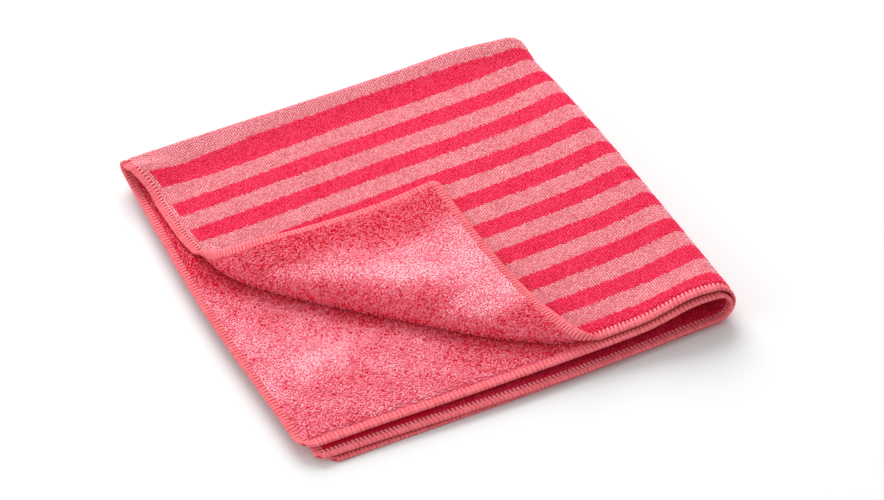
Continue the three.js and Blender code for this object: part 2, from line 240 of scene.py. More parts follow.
# Noise scales, per metre on yarn and per millimetre on flat cloth, bump depths in metres, and the finish
PILE_GRAIN, HEM_GRAIN, HEM_DRIFT = 4200.0, 3800.0, 900.0
TERRY_GRAIN, TERRY_DRIFT = 0.95, 0.06
RIB_POWER, ROW_POWER = 0.6, 0.35
THREAD_BUMP, KNIT_BUMP, TERRY_BUMP = 0.0001, 0.00025, 0.0006
ROUGHNESS, SHINE = 0.95, 0.05

# The studio, in metres and watts
FLOOR_REACH = 6.0
FLOOR_SHADE = 0.77
WORLD_LIGHT = 0.69
SOFTBOX = {"position": (0.3, 1.42, 1.25), "size": 1.7, "watts": 42.0}
FILL = {"position": (-1.4, 0.1, 0.5), "size": 1.2, "watts": 8.5}


def smooth(value):
    """A smooth step from 0 to 1."""
    v = np.clip(value, 0, 1)
    return v * v * (3 - 2 * v)


def skew_at(s):
    """How far the first fold is out of square, most at the side hem."""
    return FIRST_SKEW * (1 - smooth(s / SKEW_REACH))


def first_fold(t):
    """Distance behind the front, height out of the doubled cloth, and the lift it needs."""
    past = t - FIRST_AT
    half = LAYER_PITCH / 2
    tilt = math.acos((half + FIRST_SHOULDER) / (FIRST_RADIUS + FIRST_SHOULDER))
    bend = FIRST_RADIUS * (math.pi / 2 + tilt)
    shoulder = FIRST_SHOULDER * tilt
    run = np.abs(past)
    angle = np.minimum(run, bend) / FIRST_RADIUS
    left = tilt - np.clip(run - bend, 0, shoulder) / FIRST_SHOULDER
    y = FIRST_AT - FIRST_RADIUS + FIRST_RADIUS * np.cos(angle)
    y -= FIRST_SHOULDER * (math.sin(tilt) - np.sin(left)) + np.maximum(run - bend - shoulder, 0)
    out = FIRST_RADIUS * np.sin(angle) - FIRST_SHOULDER * (np.cos(left) - math.cos(tilt))
    crown = np.where(run < FIRST_RADIUS * math.pi / 2, FIRST_RADIUS, out)
    return y, np.where(past < 0, out, -out), crown - half


def second_fold(s):
    """The middle line of the doubled cloth, and its outward direction."""
    upper = s < SECOND_AT
    drop = 2 * SECOND_RADIUS - STACK
    tilt = math.acos(1 - drop / (SECOND_RADIUS + SECOND_SHOULDER))
    turn = math.pi / 2 + np.where(upper, tilt, 0)
    run = np.abs(s - SECOND_AT)
    angle = np.minimum(run / SECOND_RADIUS, turn)
    side = np.where(upper, 1.0, -1.0)
    rest = np.maximum(run - SECOND_RADIUS * turn, 0)
    shoulder = np.where(upper, SECOND_SHOULDER * tilt, 0)
    left = tilt - np.minimum(rest, shoulder) / SECOND_SHOULDER
    settling = upper & (rest > 0)
    x = SECOND_RADIUS * np.cos(angle) - SECOND_SHOULDER * (math.sin(tilt) - np.sin(left))
    x += SECOND_AT - SECOND_RADIUS - SECOND_EASE - np.maximum(rest - shoulder, 0)
    z = side * SECOND_RADIUS * np.sin(angle) - SECOND_SHOULDER * (np.cos(left) - math.cos(tilt))
    z += SECOND_RADIUS + HALF + LAYER_PITCH / 2
    out_x = np.where(settling, -np.sin(left), np.cos(angle))
    out_z = np.where(settling, np.cos(left), side * np.sin(angle))
    return x, z, out_x, out_z


def crease_at(s, t):
    """Place along the crease, from -1 to 1, distance past it, and the roll's bow, size and start there."""
    along = CREASE_FRONT * (2 * s - CREASE_FRONT) - CREASE_LEFT * (2 * t - CREASE_LEFT)
    along = along / CREASE_LENGTH**2
    past = (CREASE_LEFT * CREASE_FRONT - CREASE_LEFT * s - CREASE_FRONT * t) / CREASE_LENGTH
    off = np.clip(np.abs(along), 0, 1)
    end = np.where(along < 0, END_SCALE["left"], END_SCALE["front"])
    taper = np.where(along < 0, END_TAPER["left"], END_TAPER["front"])
    bow = 1 - off**BOW_POWER
    scale = 1 - (1 - end) * off**taper
    return along, past, bow, scale, CREASE_BOW * bow - 0.5 * scale * ROLL_ARC


def turn_back(s, t):
    """Where on the top layer a point of the corner comes to lie, and how far above it."""
    _, past, bow, scale, start = crease_at(s, t)
    creep = CREEP * bow * smooth((past + CREEP_REACH) / (start + CREEP_REACH))
    run = np.maximum(past - start, 0) / scale
    roll_radius, ridge_radius = ROLL_ARC / ROLL_TURN, RIDGE_ARC / RIDGE_TURN
    roll = np.minimum(run, ROLL_ARC) / roll_radius
    ridge = ROLL_TURN + np.clip((run - ROLL_ARC) / RIDGE_ARC, 0, 1) * RIDGE_TURN
    flap = np.maximum(run - ROLL_ARC - RIDGE_ARC, 0)
    u = roll_radius * np.sin(roll) + ridge_radius * (np.sin(ridge) - math.sin(ROLL_TURN))
    u += flap * math.cos(ROLL_TURN + RIDGE_TURN)
    h = roll_radius * (1 - np.cos(roll)) - ridge_radius * (np.cos(ridge) - math.cos(ROLL_TURN))
    h += flap * math.sin(ROLL_TURN + RIDGE_TURN)
    u *= scale * np.where(u < 0, FLAP_STRETCH, 1)
    h *= scale
    landed = LAYER_PITCH + 0.5 * (h - LAYER_PITCH + np.hypot(h - LAYER_PITCH, LANDING_SOFT))
    rise = h + (landed - h) * smooth((run / ROLL_ARC - LANDING_FROM) / (1 - LANDING_FROM))
    turned = past > start
    shift = (past - np.where(turned, start + u, past) - creep) / CREASE_LENGTH
    return s + shift * CREASE_LEFT, t + shift * CREASE_FRONT, np.where(turned, rise, 0)


def quarter_of(upper, outer):
    """The quarter: above or below the second fold, outside or inside the first."""
    return np.where(upper, np.where(outer, TOP, SECOND), np.where(outer, BOTTOM, THIRD))


def round_corner(s, t):
    """Draws the square patch at each corner of the flat cloth in to a quarter circle."""
    upper, outer = s < SIDE / 2, t < SIDE / 2
    radius = CORNER_ROUND[quarter_of(upper, outer)]
    u = np.clip(1 - np.minimum(s, SIDE - s) / radius, 0, 1)
    v = np.clip(1 - np.minimum(t, SIDE - t) / radius, 0, 1)
    in_s = radius * u * (1 - np.sqrt(1 - v * v / 2))
    in_t = radius * v * (1 - np.sqrt(1 - u * u / 2))
    return s + np.where(upper, in_s, -in_s), t + np.where(outer, in_t, -in_t)


def place(s, t):
    """The middle of the cloth at places on the flat square."""
    flat_s, flat_t = np.asarray(s, float), np.asarray(t, float)
    s, t = round_corner(flat_s, flat_t)
    near = (s + t < TURN_REACH) & (s < SECOND_AT) & (t < FIRST_AT)
    turned_s, turned_t, rise = turn_back(s, t)
    s, t, rise = np.where(near, turned_s, s), np.where(near, turned_t, t), np.where(near, rise, 0)
    skew = skew_at(s)
    upper, outer = s < SECOND_AT, t < FIRST_AT + skew
    y, out, lift = first_fold(t - skew * np.clip((SIDE - t) / (SIDE - FIRST_AT), 0, 1))
    x, z, out_x, out_z = second_fold(s)
    x = x + out_x * out
    z = z + out_z * out + lift * (2 + out_z) + rise

    quarter = quarter_of(upper, outer)
    fx, fy = np.clip(x / QUARTER, 0, 1), np.clip(y / QUARTER, 0, 1)
    wave_x, wave_y = np.sin(np.pi * fx), np.sin(np.pi * fy)
    loose = (1 - fx) * (1 - fy)
    x = x + SLIDE_X[quarter] * loose + SIDE_BOW[quarter] * wave_y**2 * (1 - fx) + RIGHT_BOW * wave_y * fx
    y = y + SLIDE_Y[quarter] * loose + FRONT_BOW[quarter] * wave_x**2 * (1 - fy) ** 2
    y = y + BACK_BOW * wave_x * fy

    inner = (quarter == SECOND) | (quarter == THIRD)
    leading = smooth((fx - INNER_LEAD["start"]) / INNER_LEAD["over"]) * (1 - fy) ** 2
    y = y - np.where(inner, INNER_LEAD["much"] * leading, 0)

    reach = BACK_CORNER["reach"]
    corner = smooth((x - QUARTER + reach) / reach) * smooth((y - QUARTER + reach) / reach)
    x = x - BACK_CORNER["in_x"] * corner
    y = y - BACK_CORNER["in_y"] * corner

    top = quarter == TOP
    from_back = smooth((FIRST_AT - t) / BACK_REACH)
    x = x + np.where(top, TOP_INSET * from_back * (1 - smooth(s / INSET_REACH)), 0)
    along_hem = smooth((t - HEM_CURL["start"]) / HEM_CURL["over"])
    before_bend = smooth((FIRST_AT - t) / HEM_CURL["back"])
    curl = HEM_CURL["rise"] * smooth(1 - s / HEM_CURL["reach"]) * along_hem * before_bend
    from_turn = (flat_t - HEM_TURN["at"]) / HEM_TURN["along"]
    turning = smooth(1 - flat_s / HEM_TURN["reach"]) * np.exp(-(from_turn**2))
    x = x + np.where(top, HEM_TURN["in_x"] * turning, 0)
    y = y + np.where(top, HEM_TURN["in_y"] * turning, 0)
    z = z + np.where(top, curl + HEM_TURN["rise"] * turning, 0)
    for swell in SWELLS:
        away = np.hypot(x - swell["x"], y - swell["y"]) / (2 * swell["reach"])
        z = z + np.where(quarter == swell["quarter"], swell["rise"] * smooth(1 - away), 0)
    swelling = smooth((x - LOOP_SWELL["start"]) / LOOP_SWELL["over_x"]) * smooth(y / LOOP_SWELL["over_y"])
    bulging = smooth(1 - np.hypot(x - LOOP_BULGE["x"], y) / LOOP_BULGE["reach"])
    z = HALF + (z - HALF) * (1 + LOOP_SWELL["share"] * swelling + LOOP_BULGE["share"] * bulging)
    return np.stack([x, y, z], -1)


def unit(v):
    return v / np.linalg.norm(v, axis=-1, keepdims=True)


def surface(s, t):
    """Middle of the cloth, its directions along s and t, and that of the striped face."""
    s, t = np.asarray(s, float), np.asarray(t, float)
    along_s = unit(place(np.minimum(s + NUDGE, SIDE), t) - place(np.maximum(s - NUDGE, 0), t))
    along_t = unit(place(s, np.minimum(t + NUDGE, SIDE)) - place(s, np.maximum(t - NUDGE, 0)))
    return place(s, t), along_s, along_t, unit(np.cross(along_s, along_t))


def hem_distance(s, t):
    """Distance in from the nearest edge of the flat cloth."""
    return np.minimum(np.minimum(s, SIDE - s), np.minimum(t, SIDE - t))


def half_thickness(s, t):
    """The sewing presses the cloth thinner in the hem."""
    eased = smooth((hem_distance(s, t) - HEM + HEM_EASE["inside"]) / HEM_EASE["over"])
    return HEM_HALF + (HALF - HEM_HALF) * eased


def is_red(s, t):
    """Where the stripes are red. They drift where the cloth turns into the loop, and wander a little."""
    drift = STRIPE_DRIFT["much"] * smooth((s - STRIPE_DRIFT["start"]) / STRIPE_DRIFT["over"])
    off_s = (s - STRIPE_BEND["s"]) / STRIPE_BEND["along"]
    off_t = (t - STRIPE_BEND["t"]) / STRIPE_BEND["across"]
    drift -= STRIPE_BEND["much"] * np.exp(-(off_s**2) - off_t**2)
    wander = sum(wave["much"] * np.sin(s / wave["along"] + t / wave["across"]) for wave in STRIPE_WANDER)
    wander = wander + rng.normal(0, STRIPE_FRAY, s.shape)
    across = np.minimum(t, 2 * FIRST_AT - t) - STRIPE_FIRST - drift + wander
    number = np.floor(across / STRIPE_PITCH)
    within = across - number * STRIPE_PITCH
    near = LAST_TAPER["near"] * (1 - smooth(s / LAST_TAPER["until"]))
    far = LAST_TAPER["far"] * smooth((s - LAST_TAPER["start"]) / LAST_TAPER["over"])
    taper = np.where(number == LAST_STRIPE, near + far, 0)
    wide = np.where(number == LAST_STRIPE, LAST_WIDE, STRIPE_WIDE) - taper
    return (within >= taper) & (within < wide) & (number <= LAST_STRIPE) & (s > STRIPE_INSET)


# Materials

def linear(red, green, blue):
    """A screen colour from 0 to 255, in the shader's units."""
    share = [c / 255 for c in (red, green, blue)]
    return [c / 12.92 if c <= 0.04045 else ((c + 0.055) / 1.055) ** 2.4 for c in share] + [1.0]


# Each yarn's low colour is painted shade, for the feet of the pile and the darker strands of the sewing,
# and its high colour painted light, for ridges and tips; the terry's high colour is its painted sheen
RED, RED_LOW = linear(253, 88, 127), linear(220, 22, 60)
PINK, PINK_LOW = linear(254, 188, 194), linear(208, 84, 100)
TERRY_HIGH, TERRY_MID, TERRY_LOW = linear(247, 212, 219), linear(253, 146, 165), linear(226, 24, 56)
CORAL, CORAL_LOW = linear(244, 126, 134), linear(212, 76, 88)
PALE, PALE_LOW = linear(248, 142, 150), linear(228, 104, 116)
RED_GROUND, RED_GROUND_LOW = linear(238, 36, 74), linear(210, 14, 46)
PINK_GROUND, PINK_GROUND_LOW = linear(244, 136, 149), linear(206, 76, 94)
TERRY_GROUND = linear(232, 60, 92)
HEM_GROUND, HEM_GROUND_LOW = linear(214, 70, 86), linear(176, 40, 58)
TERRY_HEM_GROUND, TERRY_HEM_GROUND_LOW = linear(236, 118, 130), linear(208, 78, 92)


class Nodes:
    """A material's node tree, with one call for each node."""

    def __init__(self, name):
        self.material = bpy.data.materials.new(name)
        self.material.use_nodes = True
        self.tree = self.material.node_tree
        self.shader = self.tree.nodes["Principled BSDF"]
        self.shader.inputs["Roughness"].default_value = ROUGHNESS
        self.shader.inputs["Specular IOR Level"].default_value = SHINE

    def add(self, kind, inputs=None, **settings):
        node = self.tree.nodes.new(kind)
        for key, value in settings.items():
            setattr(node, key, value)
        for key, value in (inputs or {}).items():
            if isinstance(value, bpy.types.NodeSocket):
                self.tree.links.new(value, node.inputs[key])
            else:
                node.inputs[key].default_value = value
        return node

    def math(self, operation, a, b=0.0):
        return self.add("ShaderNodeMath", {0: a, 1: b}, operation=operation).outputs[0]

    def ease(self, value, start, over, before, after):
        """A smooth step of the value."""
        inputs = {0: value, 1: start, 2: start + over, 3: before, 4: after}
        return self.add("ShaderNodeMapRange", inputs, interpolation_type="SMOOTHSTEP").outputs[0]

    def mix_colour(self, share, a, b):
        return self.add("ShaderNodeMix", {0: share, 6: a, 7: b}, data_type="RGBA").outputs[2]

    def flat(self):
        """Places on the flat cloth in millimetres: the vector, and s and t."""
        uv = self.add("ShaderNodeUVMap", uv_map="flat").outputs[0]
        scaled = self.add("ShaderNodeVectorMath", {0: uv, 1: (SIDE, SIDE, 0)}, operation="MULTIPLY")
        parts = self.add("ShaderNodeSeparateXYZ", {0: scaled.outputs[0]})
        return scaled.outputs[0], parts.outputs[0], parts.outputs[1]

    def noise(self, vector, scale, detail=2.0):
        inputs = {"Vector": vector, "Scale": scale, "Detail": detail}
        return self.add("ShaderNodeTexNoise", inputs).outputs[0]

    def colour(self, socket):
        self.tree.links.new(socket, self.shader.inputs["Base Color"])

    def bump(self, height, distance):
        node = self.add("ShaderNodeBump", {"Height": height, "Distance": distance, "Strength": 1.0})
        self.tree.links.new(node.outputs[0], self.shader.inputs["Normal"])


def yarn_material(name, low, middle, high, grain=PILE_GRAIN):
    """Yarn shaded by each point's own share, from the shadowed ground up to the tip."""
    nodes = Nodes(name)
    share = nodes.add("ShaderNodeAttribute", attribute_name="shade").outputs["Fac"]
    ramp = nodes.add("ShaderNodeValToRGB", {0: share})
    ramp.color_ramp.elements[0].color = low
    ramp.color_ramp.elements[1].color = high
    ramp.color_ramp.elements.new(0.5).color = middle
    nodes.colour(ramp.outputs[0])
    place_in = nodes.add("ShaderNodeTexCoord").outputs["Object"]
    nodes.bump(nodes.noise(place_in, grain), THREAD_BUMP)
    return nodes.material


def striped_material():
    """The ribbed ground under the pile of the striped face."""
    nodes = Nodes("striped_knit")
    _, s, t = nodes.flat()
    drift = nodes.ease(s, STRIPE_DRIFT["start"], STRIPE_DRIFT["over"], 0.0, STRIPE_DRIFT["much"])
    folded = nodes.math("MINIMUM", t, nodes.math("SUBTRACT", 2 * FIRST_AT, t))
    across = nodes.math("SUBTRACT", nodes.math("SUBTRACT", folded, STRIPE_FIRST), drift)
    within = nodes.math("FLOORED_MODULO", across, STRIPE_PITCH)
    last = nodes.math("GREATER_THAN", across, LAST_STRIPE * STRIPE_PITCH)
    near = nodes.ease(s, 0.0, LAST_TAPER["until"], LAST_TAPER["near"], 0.0)
    far = nodes.ease(s, LAST_TAPER["start"], LAST_TAPER["over"], 0.0, LAST_TAPER["far"])
    taper = nodes.math("MULTIPLY", last, nodes.math("ADD", near, far))
    wide = nodes.math("ADD", STRIPE_WIDE, nodes.math("MULTIPLY", last, LAST_WIDE - STRIPE_WIDE))
    red = nodes.math("LESS_THAN", within, nodes.math("SUBTRACT", wide, taper))
    red = nodes.math("MULTIPLY", red, nodes.math("GREATER_THAN", within, taper))
    red = nodes.math("MULTIPLY", red, nodes.math("LESS_THAN", across, (LAST_STRIPE + 1) * STRIPE_PITCH))
    red = nodes.math("MULTIPLY", red, nodes.math("GREATER_THAN", s, STRIPE_INSET))
    ribs = nodes.math("ABSOLUTE", nodes.math("SINE", nodes.math("MULTIPLY", s, math.pi / RIB_PITCH)))
    rows = nodes.math("ABSOLUTE", nodes.math("SINE", nodes.math("MULTIPLY", t, math.pi / ROW_PITCH)))
    ribs, rows = nodes.math("POWER", ribs, RIB_POWER), nodes.math("POWER", rows, ROW_POWER)
    knit = nodes.math("MULTIPLY", ribs, rows)
    # The grooves between ribs and rows are painted darker, as their shade
    pink = nodes.mix_colour(knit, PINK_GROUND_LOW, PINK_GROUND)
    deep = nodes.mix_colour(knit, RED_GROUND_LOW, RED_GROUND)
    nodes.colour(nodes.mix_colour(red, pink, deep))
    nodes.bump(knit, KNIT_BUMP)
    return nodes.material


def terry_material():
    """The ground under the loops of the terry face."""
    nodes = Nodes("terry_ground")
    flat, _, _ = nodes.flat()
    grain = nodes.add("ShaderNodeTexVoronoi", {"Vector": flat, "Scale": TERRY_GRAIN}).outputs["Distance"]
    drift = nodes.noise(flat, TERRY_DRIFT)
    shade = nodes.mix_colour(drift, TERRY_LOW, TERRY_GROUND)
    # Darker away from each grain cell's middle, as painted shade between the loops
    nodes.colour(nodes.mix_colour(grain, TERRY_MID, shade))
    nodes.bump(nodes.math("SUBTRACT", 1.0, grain), TERRY_BUMP)
    return nodes.material


def hem_material(name, low, high):
    """The cloth under the sewing."""
    nodes = Nodes(name)
    place_in = nodes.add("ShaderNodeTexCoord").outputs["Object"]
    nodes.colour(nodes.mix_colour(nodes.noise(place_in, HEM_DRIFT, detail=3.0), low, high))
    nodes.bump(nodes.noise(place_in, HEM_GRAIN), THREAD_BUMP)
    return nodes.material


# Meshes

CENTRE = np.zeros(3)
SQUARE = ((-1, -1), (1, -1), (1, 1), (-1, 1))
RIB_QUADS = ((0, 4, 5, 3), (1, 2, 5, 4), (0, 3, 2, 1))
RIB_ENDS = ((0, 1, 4), (2, 3, 5))
LOOP_QUADS = ((0, 1, 5, 4), (1, 2, 6, 5), (2, 3, 7, 6), (3, 0, 4, 7), (3, 2, 1, 0))
LOOP_CAPS = ((4, 5, 8), (5, 6, 8), (6, 7, 8), (7, 4, 8))
STRIPED_SLOT, TERRY_SLOT, HEM_SLOT, TERRY_HEM_SLOT = range(4)


def make_object(name, points, faces, materials, slots=None, flat=None, shade=None):
    """An object of the cloth, from points in millimetres, none of them below the floor."""
    points = points - CENTRE
    points[:, 2] = np.maximum(points[:, 2], 0)
    mesh = bpy.data.meshes.new(name)
    mesh.from_pydata((points * METRE).tolist(), [], faces)
    for material in materials:
        mesh.materials.append(material)
    if slots is not None:
        mesh.polygons.foreach_set("material_index", np.asarray(slots, np.int32))
    mesh.polygons.foreach_set("use_smooth", np.ones(len(mesh.polygons), bool))
    if flat is not None:
        corner = np.empty(len(mesh.loops), np.int32)
        mesh.loops.foreach_get("vertex_index", corner)
        layer = mesh.uv_layers.new(name="flat")
        layer.data.foreach_set("uv", (flat[corner] / SIDE).astype(np.float32).ravel())
    if shade is not None:
        layer = mesh.attributes.new("shade", "FLOAT", "POINT")
        layer.data.foreach_set("value", np.clip(shade, 0, 1).astype(np.float32))
    mesh.update()
    obj = bpy.data.objects.new(name, mesh)
    bpy.context.scene.collection.objects.link(obj)
    return obj


def lines(stretches):
    """Grid lines from stretches of a start and a step, the last one ending at the far edge."""
    found = []
    for (start, step), (stop, _) in zip(stretches, stretches[1:] + ((SIDE, 0),)):
        count = max(1, round((stop - start) / step))
        found.extend(start + (stop - start) * i / count for i in range(count))
    return np.array(found + [SIDE])


def make_panel():
    """The whole cloth, both faces and the rounded edge, as one sheet."""
    s_lines, t_lines = lines(PANEL_S), lines(PANEL_T)
    s, t = (g.ravel() for g in np.meshgrid(s_lines, t_lines, indexing="ij"))
    middle, _, _, out = surface(s, t)
    half = half_thickness(s, t)[:, None]
    count = len(s)
    index = np.arange(count).reshape(len(s_lines), len(t_lines))
    quads = np.stack([index[:-1, :-1], index[1:, :-1], index[1:, 1:], index[:-1, 1:]], -1).reshape(-1, 4)
    edge = np.concatenate([index[:-1, 0], index[-1, :-1], index[:0:-1, -1], index[0, :0:-1]])
    in_s = np.where(s[edge] == 0, NUDGE, np.where(s[edge] == SIDE, -NUDGE, 0))
    in_t = np.where(t[edge] == 0, NUDGE, np.where(t[edge] == SIDE, -NUDGE, 0))
    off = unit(middle[edge] - place(s[edge] + in_s, t[edge] + in_t))
    rows = [edge]
    points = [middle + out * half, middle - out * half]
    flat = [np.stack([s, t], -1)] * 2
    total = 2 * count
    for angle in RIM_ANGLES:
        points.append(middle[edge] + half[edge] * (out[edge] * math.cos(angle) + off * math.sin(angle)))
        flat.append(flat[0][edge])
        rows.append(total + np.arange(len(edge)))
        total += len(edge)
    rows.append(edge + count)
    rim = [np.stack([np.roll(a, -1), a, b, np.roll(b, -1)], -1) for a, b in zip(rows, rows[1:])]
    faces = np.concatenate([quads, quads[:, ::-1] + count, *rim])
    mid_s, mid_t = s[quads].mean(1), t[quads].mean(1)
    inward = hem_distance(mid_s, mid_t)
    hem, terry_hem = inward < HEM, inward < TERRY_HEM
    striped_slots = np.where(hem, HEM_SLOT, STRIPED_SLOT)
    terry_slots = np.where(terry_hem, TERRY_HEM_SLOT, TERRY_SLOT)
    rim_slots = np.full((len(RIM_ANGLES) + 1) * len(edge), HEM_SLOT)
    slots = np.concatenate([striped_slots, terry_slots, rim_slots])
    return np.concatenate(points), faces.tolist(), slots, np.concatenate(flat)


def scatter(s_range, t_range, pitch_s, pitch_t, jitter):
    """Even rows of places on the flat cloth, a little out of line."""
    s_row = np.arange(s_range[0], s_range[1], pitch_s)
    t_row = np.arange(t_range[0], t_range[1], pitch_t)
    s, t = np.meshgrid(s_row, t_row, indexing="ij")
    s = s + rng.uniform(-jitter, jitter, s.shape) * pitch_s
    t = t + rng.uniform(-jitter, jitter, t.shape) * pitch_t + rng.uniform(0, pitch_t, (len(s_row), 1))
    return s.ravel(), t.ravel()


def blotches(s, t, size):
    """Soft random patches of about this size, from -1 to 1."""
    knots = rng.uniform(-1, 1, (int(SIDE / size) + 3,) * 2)
    i, j = (s / size).astype(int), (t / size).astype(int)
    a, b = smooth(s / size - i), smooth(t / size - j)
    near = knots[i, j] * (1 - b) + knots[i, j + 1] * b
    far = knots[i + 1, j] * (1 - b) + knots[i + 1, j + 1] * b
    return near * (1 - a) + far * a


def tuft_faces(corners, points_each, count):
    """The same faces for each of many tufts, from the corners of one."""
    first = points_each * np.arange(count)[:, None]
    return np.concatenate([first + np.array([k]) for k in corners], 1).reshape(-1, len(corners[0])).tolist()


def rib_tufts(s, t, fullness):
    """Ribs of the striped face: a low mound for each stitch, with painted shade at its foot and painted
    light on its ridge, lightest on the fold as painted light and darkest inside it as painted shade.
    """
    middle, along_s, along_t, out = surface(s, t)
    count = len(s)
    ground = middle + out * (half_thickness(s, t) - RIB_SUNK)[:, None]
    wide = RIB_PITCH / 2 * fullness * rng.uniform(*RIB_WIDE, count)[:, None]
    long = ROW_PITCH / 2 * rng.uniform(*RIB_LONG, count)[:, None]
    high = rng.uniform(*RIB_HIGH, count)[:, None]
    foot = [ground + along_s * wide * a + along_t * long * b for a, b in SQUARE]
    ridge = [ground + out * high + along_t * long * b for b in (-RIDGE_SHARE, RIDGE_SHARE)]
    points = np.stack(foot + ridge, 1).reshape(-1, 3)
    points_each = len(foot) + len(ridge)
    faces = tuft_faces(RIB_QUADS, points_each, count) + tuft_faces(RIB_ENDS, points_each, count)
    past_fold = t - FIRST_AT
    lighter = FOLD_SHADE["lighter"] * smooth((past_fold - FOLD_SHADE["start"]) / FOLD_SHADE["over"])
    darker = FOLD_SHADE["darker"] * smooth((past_fold - FOLD_SHADE["inside"]) / FOLD_SHADE["over"])
    spread = rng.normal(0, RIB_SHADE["spread"], count)
    patch = RIB_SHADE["patch"] * blotches(s, t, RIB_SHADE["size"])
    tone = (spread + patch + (lighter - darker))[:, None]
    dark = np.repeat(tone + RIB_SHADE["foot"], len(foot), 1)
    light = np.repeat(tone + RIB_SHADE["ridge"], len(ridge), 1)
    return points, faces, np.concatenate([dark, light], 1).ravel()


def loop_tufts(s, t, nap_and_light):
    """Terry loops: soft knobs that lean over, with painted shade at their feet, lightest where painted
    light is laid on and flattest where brushed.
    """
    middle, along_s, along_t, out = surface(s, t)
    out = -out
    count = len(s)
    nap_and_light = nap_and_light[:, None]
    ground = middle + out * (half_thickness(s, t) - LOOP_SUNK)[:, None]
    turn = rng.uniform(0, 2 * math.pi, count)[:, None]
    lean_way = along_s * np.cos(turn) + along_t * np.sin(turn)
    lean = lean_way * rng.uniform(*LOOP_LEAN, count)[:, None]
    wide = rng.uniform(*LOOP_WIDE, count)[:, None] * (1 + NAP_WIDER * nap_and_light)
    high = rng.uniform(*LOOP_HIGH, count)[:, None] * (1 - NAP_LOWER * nap_and_light)
    lean_way = LOOP_LONG * lean_way
    side_way = LOOP_SLIM * np.cross(out, lean_way)
    ways = (lean_way, side_way, -lean_way, -side_way)
    foot = [ground + way * wide * LOOP_FOOT for way in ways]
    belly = [ground + out * high * BELLY_HIGH + lean * BELLY_LEAN + way * wide for way in ways]
    tip = [ground + out * high + lean]
    points = np.stack(foot + belly + tip, 1).reshape(-1, 3)
    points_each = len(foot) + len(belly) + len(tip)
    faces = tuft_faces(LOOP_QUADS, points_each, count) + tuft_faces(LOOP_CAPS, points_each, count)
    spread = np.abs(rng.normal(0, LOOP_TONE["spread"], count))[:, None]
    tone = LOOP_TONE["base"] + LOOP_TONE["nap_and_light"] * nap_and_light - spread * (1 - LOOP_TONE["even"] * nap_and_light)
    deep = tone * (LOOP_SHADE["deep"] + LOOP_SHADE["deep_nap"] * nap_and_light)
    light = tone + LOOP_SHADE["tip"] * (1 - nap_and_light)
    shade = [np.repeat(deep, len(foot), 1), np.repeat(tone * LOOP_SHADE["belly"], len(belly), 1), light]
    return points, faces, np.concatenate(shade, 1).ravel()


def make_overlock(strand):
    """One strand of every stitch round the hem, from the striped face round the edge to the terry face."""
    stops = len(strand["stops"])
    sewn = SIDE - 2 * STITCH_START
    per_edge = int(sewn / STITCH_PITCH)
    along = STITCH_START + (np.arange(per_edge) + strand["shift"]) * sewn / per_edge
    turn = np.linspace(0, 2 * math.pi, YARN_SIDES, endpoint=False)
    shape = (per_edge, stops, YARN_SIDES)
    points, faces = [], []
    for edge in range(EDGES):
        path = []
        for stop in strand["stops"]:
            angle = math.radians(stop["angle"])
            on_face = stop["inward"] * math.cos(angle)
            run = np.clip(along + STITCH_SLANT * float(smooth(on_face / HEM)), 0, SIDE)
            depth = np.full_like(run, stop["inward"])
            s, t = ((run, depth), (SIDE - depth, run), (run, SIDE - depth), (depth, run))[edge]
            middle, along_s, along_t, out = surface(s, t)
            off = (-along_t, along_s, along_t, -along_s)[edge]
            path.append(middle + (HEM_HALF + STITCH_LIFT) * (out * math.cos(angle) + off * math.sin(angle)))
        path = np.stack(path, 1)
        radius = np.array([stop["radius"] for stop in strand["stops"]])
        radius = radius * rng.uniform(*STITCH_SPREAD, (per_edge, 1))
        way = unit(np.gradient(path, axis=1))
        edge_way = unit(np.gradient(path[:, stops // 2], axis=0))[:, None, :]
        side_way = unit(edge_way - way * (edge_way * way).sum(-1, keepdims=True))
        up_way = np.cross(way, side_way)
        ring = side_way[:, :, None, :] * np.cos(turn)[:, None]
        ring = ring + YARN_FLAT * up_way[:, :, None, :] * np.sin(turn)[:, None]
        points.append((path[:, :, None, :] + radius[:, :, None, None] * ring).reshape(-1, 3))
        index = (edge * math.prod(shape) + np.arange(math.prod(shape))).reshape(shape)
        near, far = index[:, :-1], index[:, 1:]
        skin = np.stack([near, far, np.roll(far, -1, 2), np.roll(near, -1, 2)], -1)
        faces.extend(skin.reshape(-1, 4).tolist() + index[:, 0].tolist() + index[:, -1, ::-1].tolist())
    pale = np.arange(stops - 1) < strand["pale_stops"]
    pale = np.broadcast_to(pale[None, :, None], (per_edge, stops - 1, YARN_SIDES))
    slots = np.concatenate([pale.ravel(), np.repeat([strand["pale_stops"] > 0, False], per_edge)])
    shade = np.repeat(rng.uniform(*strand["tones"], EDGES * per_edge), stops * YARN_SIDES)
    return np.concatenate(points), faces, np.tile(slots, EDGES), shade


